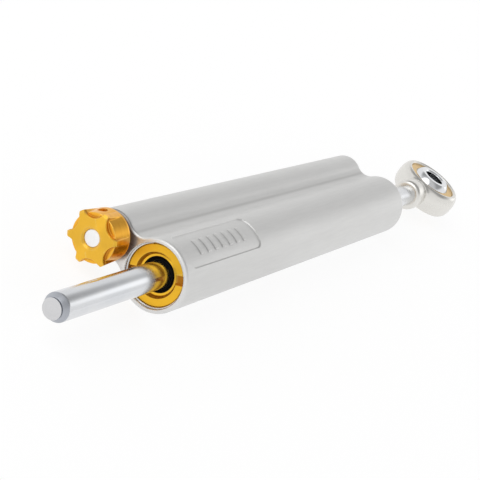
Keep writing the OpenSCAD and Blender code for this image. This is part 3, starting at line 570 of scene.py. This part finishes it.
# Each column is a profile at its own angle: out over the face, down the nose's chamfer or the scallop's wall,
# round the fillet and out over the ledge, back along the side, round the rim and the boss, and through the
# hole. The grub screw's hole pushes the side in to its floor.
def makeKnob(s):
    angle = around(s["columns"])
    flat = 0 * angle
    bevel, ledge = s["bevel"], s["ledgeH"]
    cut = roundCut(fromScallop(s, angle), s["floorR"], s["cutterR"])

    def faceHeight(radius):
        return s["reach"] - s["fall"] * np.clip((radius - s["flatR"]) / (s["noseFaceR"] - s["flatR"]), 0, 1)

    inner = s["holeR"] + s["mouth"]
    lipR = np.array([[s["holeR"]], [s["holeR"] + 0.05], [inner - 0.06]]) + flat
    lipH = s["reach"] - np.array([[s["mouth"] + 0.1], [s["mouth"] - 0.02], [0.03]]) + flat
    faceEdge = np.minimum(cut - bevel, s["noseFaceR"])
    faceR = inner + (faceEdge - inner) * np.append(np.linspace(0, 0.97, 14), 1)[:, None]
    faceH = faceHeight(faceR)
    chamfer = np.array([0.06, 0.5, 0.94, 1.0])[:, None]
    noseR = s["noseFaceR"] + (s["noseR"] - s["noseFaceR"]) * chamfer
    chamferR = np.minimum(noseR, cut - bevel * (1 - chamfer))
    chamferH = faceHeight(s["noseFaceR"]) + (s["noseH"] - faceHeight(s["noseFaceR"])) * chamfer
    chamferH = np.where(cut - bevel < s["noseFaceR"], faceH[-1] - bevel * chamfer, chamferH)
    chamferR = np.minimum(chamferR, knobSide(s, angle, chamferH))
    drop = np.linspace(0, 1, 6)[1:, None]
    wallH = chamferH[-1] + (ledge + s["fillet"] - chamferH[-1]) * drop
    wallR = np.minimum(cut, knobSide(s, angle, wallH))
    swing = np.linspace(0, np.pi / 2, 7)[1:, None]
    filletH = ledge + s["fillet"] * (1 - np.sin(swing)) + flat
    filletR = np.minimum(cut + s["fillet"] * (1 - np.cos(swing)), knobSide(s, angle, filletH))
    ledgeEdge = knobSide(s, angle, ledge) - bevel
    ledgeShare = np.array([0.05, 0.5, 0.95, 1])[:, None]
    ledgeR = np.maximum(filletR[-1] + (ledgeEdge - filletR[-1]) * ledgeShare, 0)
    sideH = np.linspace(ledge - 2 * bevel, s["rimH"] + s["rimEdge"], s["sideRows"])
    sideH = np.append(ledge - bevel, sideH)[:, None] + flat
    sideR = knobSide(s, angle, sideH)
    offset = (angle - np.radians(s["grubAngle"]) + np.pi) % (2 * np.pi) - np.pi
    fromGrub = np.hypot(sideR * np.sin(offset), sideH - s["grubHeight"])
    sideR = np.where((fromGrub < s["grubR"]) & (np.cos(offset) > 0), s["grubFloorR"], sideR)
    turnIn = np.linspace(0, 1, 6)[1:, None]
    rimR = sideR[-1] - s["rimEdge"] * turnIn ** 2
    rimH = s["rimH"] + s["rimEdge"] * (1 - turnIn) ** 2 + flat
    boss, back = s["bossR"], s["bossH"]
    bossR = np.array([boss + 0.1, boss, boss, boss - 0.2, s["holeR"]])[:, None] + flat
    bossH = np.array([s["rimH"], s["rimH"] - 0.1, back + 0.2, back, back])[:, None] + flat
    radius = np.vstack([lipR, faceR, chamferR, wallR, filletR, ledgeR, sideR, rimR, bossR])
    height = np.vstack([lipH, faceH, chamferH, wallH, filletH, ledge + 0 * ledgeR, sideH, rimH, bossH])
    points = np.stack([frontFace - height, lobeY + radius * np.cos(angle), radius * np.sin(angle)], -1)
    mesh = fillMesh("knob", [points], loop=True, sharpAngle=40)
    x, y, z = pointsOf(mesh)
    radius, height = np.hypot(y - lobeY, z), frontFace - x
    markPoints(mesh, "smooth", (height < s["noseH"] - 0.2) & (radius > s["holeR"] + 0.2))
    walled = roundCut(fromScallop(s, np.arctan2(z, y - lobeY)), s["floorR"], s["cutterR"])
    # Painted shade: the scallop walls, which are milled, and the rim's back edge take the dark milled mark
    nearWall = (np.abs(radius - walled - s["fillet"] / 2) < s["fillet"]) & (height > ledge - 0.05)
    backEdge = (height < s["rimH"] + 1.2 * s["rimEdge"]) & (radius > s["bossR"])
    markPoints(mesh, "milledAndShade", np.maximum(s["wallMilledShade"] * (nearWall & (height < s["noseH"])), backEdge))
    placePiece("knob", mesh, "knob", "gold_anodised", ["adjuster_knob"], knobGold)
    mesh.materials.append(knobSideShadedGold)  # everything behind the turned face
    centre = np.empty(len(mesh.polygons) * 3, np.float32)
    mesh.polygons.foreach_get("center", centre)
    behind = frontFace - centre[::3] / mm < s["noseH"] - 0.05
    mesh.polygons.foreach_set("material_index", behind.astype(np.int32))


makeKnob(knobSet)

spindleSet = {"radius": 3.16, "front": 12.0, "edge": 0.3, "back": -9.0, "backEdge": 0.2, "columns": 96}


# Spindle end in the knob: a turned pin with an eased edge
def makeSpindle(s):
    front, back, radius = frontFace - s["front"], frontFace - s["back"], s["radius"]
    profile = eased([(front, 0), (front, radius), (back, radius), (back, 0)], [s["edge"], s["backEdge"]])
    mesh = fillMesh("spindleEnd", [turnedX(profile, s["columns"], lobeY)])
    placePiece("spindleEnd", mesh, "knob", "spindle_steel", ["adjuster_spindle"])


makeSpindle(spindleSet)

grubSet = {"radius": 1.68, "from": 3.3, "to": 7.6, "edge": 0.15, "socket": 0.8, "socketL": 1.0, "cone": 0.2,
           "columns": 96}


# Grub screw in the knob: a turned pin whose socket has six flats, each at socket / cos(angle from its middle)
def makeGrub(s, k):
    angle = around(s["columns"])
    flat = (angle + np.pi / 6) % (np.pi / 3) - np.pi / 6
    hexagon = s["socket"] / np.cos(flat)
    near, far, floor = s["from"], s["to"], s["to"] - s["socketL"]
    along = np.array([near, near, far - s["edge"], far, far, floor, floor - s["cone"]])[:, None]
    plain = [np.full_like(angle, radius) for radius in (0, s["radius"], s["radius"], s["radius"] - s["edge"])]
    radius = np.stack(plain + [hexagon, hexagon, 0 * angle])
    lean = math.radians(k["grubAngle"])
    out = math.cos(lean), math.sin(lean)
    side = radius * np.sin(angle)
    points = np.stack([frontFace - k["grubHeight"] + radius * np.cos(angle),
                       lobeY + along * out[0] - side * out[1], along * out[1] + side * out[0]], -1)
    mesh = fillMesh("grubScrew", [points], sharpAngle=30)
    placePiece("grubScrew", mesh, "knob", "black_steel", ["knob_grub_screw"])


makeGrub(grubSet, knobSet)
print("knob, spindle end and grub screw made")


# Seal heads, wipers and retaining wires at both ends
headSet = {
    "recess": 1.6, "length": 25.0, "outerR": 11.68, "seat": 0.75, "cupR": 8.3, "cupFloorR": 7.4,
    "cupDepth": 1.6, "wiperR": 6.52, "wiperL": 3.4, "rodHoleR": 5.3, "slotW": 3.5, "slotDepth": 1.3,
    "slotAngle": 148.0, "edge": 0.16, "slotEdge": 0.16, "coneMilledShade": 0.75, "columns": 480,
}


# A turned head whose front flat drops by the slot's depth where |r sin(angle - slot)| is under half its width
def makeHead(s, name, node, face, step):
    outer, recess, hole, seat = s["outerR"], s["recess"], s["rodHoleR"], s["seat"]
    cupFloor, back = recess + s["cupDepth"], recess + s["length"]
    pocket = cupFloor + s["wiperL"]
    flat = np.linspace(s["cupR"] + 0.25, outer - seat - 0.05, 10)
    profile = np.vstack([
        eased([(back, hole), (pocket, hole), (pocket, s["wiperR"]), (cupFloor, s["wiperR"]),
               (cupFloor, s["cupFloorR"]), (recess, s["cupR"]), (recess, s["cupR"] + 0.5)], s["edge"])[:-1],
        np.stack([np.full_like(flat, recess), flat], -1)[1:],
        eased([(recess, outer - seat - 0.04), (recess, outer - seat), (recess + seat, outer),
               (back, outer), (back, hole)], s["edge"]),
    ])
    points = turnedX(profile, s["columns"])
    radius = np.hypot(points[..., 1], points[..., 2])
    angle = np.arctan2(points[..., 2], points[..., 1]) - math.radians(s["slotAngle"])
    inSlot = 1 - smoothStep(np.abs(radius * np.sin(angle)), s["slotW"] / 2 - s["slotEdge"], s["slotW"] / 2)
    floor = recess + s["slotDepth"] * inSlot * (radius > s["cupFloorR"])
    along = points[..., 0]
    points[..., 0] = face + step * np.maximum(along, np.where(along < recess + 3, floor, 0))
    mesh = fillMesh(name, [points], loop=True)

    # Marks tell the milled slot floors, the cup's cone and the smooth cup from the turned face; the slot
    # floors and the cone are painted darker as shade
    x, y, z = pointsOf(mesh)
    turned = np.arctan2(z, y) - math.radians(s["slotAngle"])
    radius = np.hypot(y, z)
    inside = np.abs(radius * np.sin(turned)) < s["slotW"] / 2 - s["slotEdge"]
    sunk = np.abs(step * (x - face) - recess - s["slotDepth"]) < 0.02
    onCone = (radius > s["cupFloorR"] - 0.05) & (radius < s["cupR"] - 0.05)
    slotFloor = inside & sunk & (radius > s["cupFloorR"])
    markPoints(mesh, "milledAndShade", np.maximum(slotFloor, s["coneMilledShade"] * onCone))
    markPoints(mesh, "smooth", radius < s["cupR"] - 0.1)
    placePiece(name, mesh, "housing", "gold_anodised", [node])


makeHead(headSet, "frontSealHead", "front_seal_head", frontFace, 1)
makeHead(headSet, "rearSealHead", "rear_seal_head", rearFace, -1)

wiperSet = {"inset": 3.5, "length": 3.2, "outerR": 6.5, "lipR": 5.04, "lip": 0.8, "edge": 0.25, "columns": 128}


# Wiper: a turned ring whose lip rises towards the rod, with a shallow groove behind it
def makeWiper(s, name, node, face, step):
    front, lip, lipR, outer = s["inset"], s["lip"], s["lipR"], s["outerR"]
    back = front + s["length"]
    profile = eased([
        (back, lipR + lip), (front + 2 * lip, lipR + lip), (front + lip, lipR), (front, lipR),
        (front, lipR + lip / 2), (front + lip, lipR + lip), (front + lip / 2, outer - lip / 2),
        (front + lip / 2, outer), (back, outer), (back, lipR + lip)], s["edge"])
    points = turnedX(profile, s["columns"])
    points[..., 0] = face + step * points[..., 0]
    mesh = fillMesh(name, [points], loop=True)
    placePiece(name, mesh, "housing", "seal_rubber", [node])


makeWiper(wiperSet, "frontWiper", "front_rod_wiper", frontFace, 1)
makeWiper(wiperSet, "rearWiper", "rear_rod_wiper", rearFace, -1)

wireSet = {
    "frontWire": {"node": "front_wire_ring", "face": frontFace, "step": 1, "y": 0.0,
                  "bore": 11.7, "wire": 0.5, "at": 1.6, "gap": 3.5},
    "rearWire": {"node": "rear_wire_ring", "face": rearFace, "step": -1, "y": 0.0,
                 "bore": 11.7, "wire": 0.5, "at": 1.6, "gap": 3.5},
    "capWire": {"node": "cap_wire_ring", "face": rearFace, "step": -1, "y": lobeY,
                "bore": 6.0, "wire": 0.4, "at": 1.0, "gap": 1.6},
}
wireOpening, wireRows, wireColumns = 58.0, 200, 20  # the middle of each ring's gap is in degrees


# Retaining wire: a round section carried along an open circle; its end rows shrink to a point and close it
def makeWire(name, s):
    half = math.asin(s["gap"] / 2 / s["bore"])
    turn = math.radians(wireOpening) + np.linspace(half, 2 * np.pi - half, wireRows)
    turn = np.concatenate([turn[:1], turn, turn[-1:]])[:, None]
    thick = np.full(len(turn), s["wire"])
    thick[0], thick[-1] = 0, 0
    section = around(wireColumns)
    radius = s["bore"] + thick[:, None] * np.cos(section)
    along = s["at"] + thick[:, None] * np.sin(section) + 0 * turn
    place = s["face"] + s["step"] * along
    points = np.stack([place, s["y"] + radius * np.cos(turn), radius * np.sin(turn)], -1)
    placePiece(name, fillMesh(name, [points]), "housing", "spring_steel", [s["node"]])


for name, one in wireSet.items():
    makeWire(name, one)

capSet = {"recess": 1.0, "length": 6.0, "outerR": 5.98, "seat": 0.6, "holeR": 1.6, "holeL": 3.0,
          "holeEdge": 0.3, "edge": 0.15, "columns": 120}


# Compensator cap: a turned plug with a threaded draw hole in its middle
def makeCap(s):
    recess, outer, hole, chamfer = s["recess"], s["outerR"], s["holeR"], s["holeEdge"]
    floor, back = recess + s["holeL"], recess + s["length"]
    profile = eased([
        (floor, 0), (floor, hole), (recess + chamfer, hole), (recess, hole + chamfer),
        (recess, outer - s["seat"]), (recess + s["seat"], outer), (back, outer), (back, 0)], s["edge"])
    points = turnedX(profile, s["columns"], lobeY)
    points[..., 0] = rearFace - points[..., 0]
    mesh = fillMesh("compensatorCap", [points])
    placePiece("compensatorCap", mesh, "housing", "gold_anodised", ["compensator_cap"], knobGold)


makeCap(capSet)

springSet = {"fixedX": 95.45, "length": 12.9, "coilR": 4.8, "wire": 0.5, "turns": 5, "rows": 48, "columns": 14}


# Compensator spring: a round section carried along a helix; its end rows shrink to a point and close it.
def makeSpring(s):
    share = np.linspace(0, 1, s["rows"] * s["turns"])
    share = np.concatenate([share[:1], share, share[-1:]])[:, None]
    thick = np.full_like(share, s["wire"])
    thick[0], thick[-1] = 0, 0
    section, turn = around(s["columns"]), 2 * np.pi * s["turns"] * share
    radius = s["coilR"] + thick * np.cos(section)
    along = s["fixedX"] - s["wire"] - (s["length"] - 2 * s["wire"]) * share + thick * np.sin(section)
    points = np.stack([along, lobeY + radius * np.cos(turn), radius * np.sin(turn)], -1)
    mesh = fillMesh("compensatorSpring", [points])
    piece = placePiece("compensatorSpring", mesh, None, "spring_steel", ["compensator_spring"])
    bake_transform(piece)


makeSpring(springSet)
print("heads, wipers, wires, cap and spring made")


# Piston rod
rodSet = {
    "tipX": -162.7, "endX": 152.0, "radius": 5.0, "taperL": 2.8, "taperR": 1.3, "stepX": 143.0, "stubR": 4.5,
    "faceR": 3.62, "land": 0.3, "groove": 0.5, "grooveR": 3.0, "grooveLean": 0.06, "columns": 160,
    "edges": [0.18, 0.08, 0.05, 0.05, 0.1, 0.4, 0.3, 0.1, 0.3],
}


# A turned bar: a faced end with a narrow groove behind it, a tapered tip, and a thinner stub in the rod end
def makeRod(s):
    tip, radius, lean, stub = s["tipX"], s["radius"], s["grooveLean"], s["stubR"]
    land, behind = tip + s["land"], tip + s["land"] + s["groove"]
    profile = eased([
        (tip, 0), (tip, s["faceR"]), (land, s["faceR"]), (land + lean, s["grooveR"]), (behind, s["grooveR"]),
        (behind + lean, radius - s["taperR"]), (tip + s["taperL"], radius), (s["stepX"], radius),
        (s["stepX"], stub), (s["endX"], stub), (s["endX"], 0)], s["edges"])
    mesh = fillMesh("rod", [turnedX(profile, s["columns"])])
    placePiece("rod", mesh, "rod", "hard_chrome", ["piston_rod"])


makeRod(rodSet)

# Rod end
eyeSet = {
    "radius": 16.9, "flatR": 14.66, "width": 13.2, "boreR": 13.02, "crownIn": 1.6, "crownDrop": 0.75,
    "crownFlat": 2.2, "crownEdges": [0.9, 0.9, 2.0, 2.0, 0.9, 0.9], "shankR": 7.6, "shankL": 29.8,
    "waistFrom": 22.0, "waistTo": 16.0, "waistR": 6.1, "neck": 12.5, "shankEdges": [2.3, 3.0, 1.0, 0.5],
    "columns": 192, "shankColumns": 128, "voxel": 0.28, "smooth": 26, "flow": 300, "flowX": 16.6, "flowW": 3.5,
    "flowZ": (4.0, 6.0),
}


# A crowned ring and a shank, both turned, fused by a fine voxel remesh. Smoothing then moves every point
# towards the mean of its neighbours: a little everywhere, and much more near the seam, with a weight that
# falls off as a bell.
def makeEye(s):
    half = s["width"] / 2
    shoulder = half - s["crownIn"], s["radius"] - s["crownDrop"]
    upper = [(s["crownFlat"], s["radius"]), shoulder, (half, s["flatR"]), (half, s["boreR"])]
    lower = [(-along, radius) for along, radius in upper[::-1]]
    crown = eased(lower + upper, s["crownEdges"], 7)
    front, neck = eyeX - s["shankL"], eyeX - s["neck"]
    shankProfile = eased([
        (front, 0), (front, s["shankR"]), (eyeX - s["waistFrom"], s["shankR"]),
        (eyeX - s["waistTo"], s["waistR"]), (neck, s["waistR"]), (neck, 0)], s["shankEdges"], 9)
    ring = turnedZ(crown, s["columns"])
    rough = fillMesh("rodEndRough", [np.concatenate([ring, ring[:1]])])
    shank = fillMesh("shankRough", [turnedX(shankProfile, s["shankColumns"])])
    work = bmesh.new()
    work.from_mesh(rough)
    work.from_mesh(shank)
    work.to_mesh(rough)
    work.free()
    draft = bpy.data.objects.new("rodEndDraft", rough)
    bpy.context.collection.objects.link(draft)
    fuse = draft.modifiers.new("fuse", "REMESH")
    fuse.mode, fuse.voxel_size, fuse.use_smooth_shade = "VOXEL", s["voxel"] * mm, True
    evaluated = draft.evaluated_get(bpy.context.evaluated_depsgraph_get())
    mesh = bpy.data.meshes.new_from_object(evaluated)
    mesh.name = "rodEnd"
    bpy.data.objects.remove(draft)

    count = len(mesh.vertices)
    place, pairs = np.empty(count * 3), np.empty(len(mesh.edges) * 2, np.int32)
    mesh.vertices.foreach_get("co", place)
    mesh.edges.foreach_get("vertices", pairs)
    place, (one, other) = place.reshape(-1, 3), pairs.reshape(-1, 2).T
    links = np.bincount(pairs, minlength=count)[:, None]
    x, y, z = place.T / mm
    outside = np.hypot(x - eyeX, y) > s["boreR"] + 0.8
    level = 1 - smoothStep(np.abs(z), *s["flowZ"])
    bell = np.exp(-((x - eyeX + s["flowX"]) / s["flowW"]) ** 2) * outside * level
    for step in range(s["flow"]):
        share = 0.5 if step < s["smooth"] else 0.5 * bell[:, None]
        mean = np.stack([np.bincount(one, place[other, k], count) + np.bincount(other, place[one, k], count)
                         for k in range(3)], -1) / links
        place = place + share * (mean - place)
    mesh.vertices.foreach_set("co", place.ravel())
    mesh.update()
    mesh.shade_smooth()
    placePiece("rodEnd", mesh, "rod", "rod_end_steel", ["rod_end_housing"])


makeEye(eyeSet)

raceSet = {"outerR": 13.0, "width": 10.8, "ballR": 11.14, "edge": 0.35, "rows": 25, "columns": 160}


# Race: a ring whose inside is part of a sphere
def makeRace(s):
    half = s["width"] / 2
    lean = math.asin(half / s["ballR"])
    swing = np.linspace(lean, -lean, s["rows"])
    inside = s["ballR"] * np.stack([np.sin(swing), np.cos(swing)], -1)
    rim = [(-half, inside[-1, 1]), (-half, s["outerR"]), (half, s["outerR"]), (half, inside[0, 1])]
    outside = eased(rim, s["edge"])
    profile = np.vstack([inside, outside[1:-1]])
    mesh = fillMesh("race", [turnedZ(profile, s["columns"])], loop=True)
    placePiece("race", mesh, "rod", "race_brass", ["rod_end_race"])


makeRace(raceSet)

ballSet = {"radius": 11.1, "width": 16.0, "boltR": 5.0, "mouth": 0.6, "edge": 0.2, "rows": 49, "columns": 160}


# Ball: a sphere cut flat at both ends and bored for the bolt
def makeBall(s):
    half, bolt, mouth = s["width"] / 2, s["boltR"], s["mouth"]
    lean = math.asin(half / s["radius"])
    swing = np.linspace(-lean, lean, s["rows"])
    outside = s["radius"] * np.stack([np.sin(swing), np.cos(swing)], -1)
    bore = eased([(half, outside[-1, 1]), (half, bolt + mouth), (half - mouth, bolt),
                  (mouth - half, bolt), (-half, bolt + mouth), (-half, outside[0, 1])], s["edge"])
    profile = np.vstack([outside, bore[1:-1]])
    mesh = fillMesh("ball", [turnedZ(profile, s["columns"])], loop=True)
    placePiece("ball", mesh, "ball", "ball_chrome", ["rod_end_ball"])


makeBall(ballSet)
print("rod and rod end made")


# CAD nodes that keep their shape take the finish of their record slot; the adjuster's sleeve is black, as
# painted shade in the gap behind the knob
shadeFinish = {"adjuster_sleeve": "black_steel"}
for row in frame["record"]["subparts"]:
    node = frame["nodes"][row["node"]]
    node.data.materials.clear()
    node.data.materials.append(finishes[shadeFinish.get(row["node"], row["material_slot"])])


# Floor, world and lamps
stageSet = {"floorZ": -0.0136, "floorSize": 12.0, "floorColour": 0.88, "seenColour": 0.15, "lift": 0.86}


def makeFloor(s):
    half, low = s["floorSize"] / 2, s["floorZ"]
    corners = [(-half, -half, low), (half, -half, low), (half, half, low), (-half, half, low)]
    mesh = bpy.data.meshes.new("floor")
    mesh.from_pydata(corners, [], [(0, 1, 2, 3)])
    floor = bpy.data.objects.new("floor", mesh)
    bpy.context.collection.objects.link(floor)
    material, tree, bsdf = newMaterial("paleFloor", Roughness=0.9)
    seen = addNode(tree, "ShaderNodeLightPath").outputs
    direct = math2(tree, "MAXIMUM", math2(tree, "MAXIMUM", seen["Is Camera Ray"], seen["Is Glossy Ray"]),
                   seen["Is Transmission Ray"])
    bounced, viewed = [(s[key],) * 3 + (1,) for key in ("floorColour", "seenColour")]
    tree.links.new(blend(tree, direct, bounced, viewed), bsdf.inputs["Base Color"])
    bsdf.inputs["Emission Color"].default_value = (1, 1, 1, 1)
    tree.links.new(math2(tree, "MULTIPLY", direct, s["lift"]), bsdf.inputs["Emission Strength"])
    mesh.materials.append(material)


makeFloor(stageSet)


worldSet = {
    "low": 0.95, "edge": (0.53, 0.66), "high": 0.36, "roomHigh": 0.66, "highEdge": (-0.1, -0.4),
    "room": 0.94, "roomEdge": (-0.15, -0.5),
    "glow": (0.875, -0.324, 0.359), "glowEdge": (0.965, 0.99), "glowLevel": 0.5,
}


# Brightness by direction: a white backdrop up to an edge in height and dim above it, a little less white and
# less dim towards the room in front of it, and one soft glow on the backdrop
def makeWorld(s):
    world = bpy.data.worlds.new("studio")
    world.use_nodes = True
    bpy.context.scene.world = world
    tree = world.node_tree
    way = addNode(tree, "ShaderNodeTexCoord").outputs["Generated"]
    apart = addNode(tree, "ShaderNodeSeparateXYZ", {0: way}).outputs
    along, height = apart["X"], apart["Z"]
    ceiling = mapRange(tree, along, *s["highEdge"], s["high"], s["roomHigh"])
    backdrop = mapRange(tree, height, *s["edge"], s["low"], ceiling)
    room = mapRange(tree, along, *s["roomEdge"], 1.0, s["room"])
    backdrop = math2(tree, "MULTIPLY", backdrop, room)
    facing = addNode(tree, "ShaderNodeVectorMath", {0: way, 1: s["glow"]}, operation="DOT_PRODUCT")
    glow = mapRange(tree, facing.outputs["Value"], *s["glowEdge"], 0.0, s["glowLevel"])
    tree.links.new(math2(tree, "ADD", backdrop, glow), tree.nodes["Background"].inputs["Strength"])
    tree.nodes["Background"].inputs["Color"].default_value = (1, 1, 1, 1)


makeWorld(worldSet)


lampSet = {"place": (-0.97, 0.45, 1.05), "target": (0, 0, 0), "size": 1.3, "power": 5.5}


def makeLamp(name, s):
    data = bpy.data.lights.new(name, "AREA")
    data.shape, data.size, data.energy = "DISK", s["size"], s["power"]
    lamp = bpy.data.objects.new(name, data)
    bpy.context.collection.objects.link(lamp)
    lamp.location = s["place"]
    aim = np.array(s["target"]) - np.array(s["place"])
    lamp.rotation_euler = Vector(aim).to_track_quat("-Z", "Y").to_euler()
    lamp.visible_camera = False


makeLamp("overheadSoftbox", lampSet)
print("stage lit")
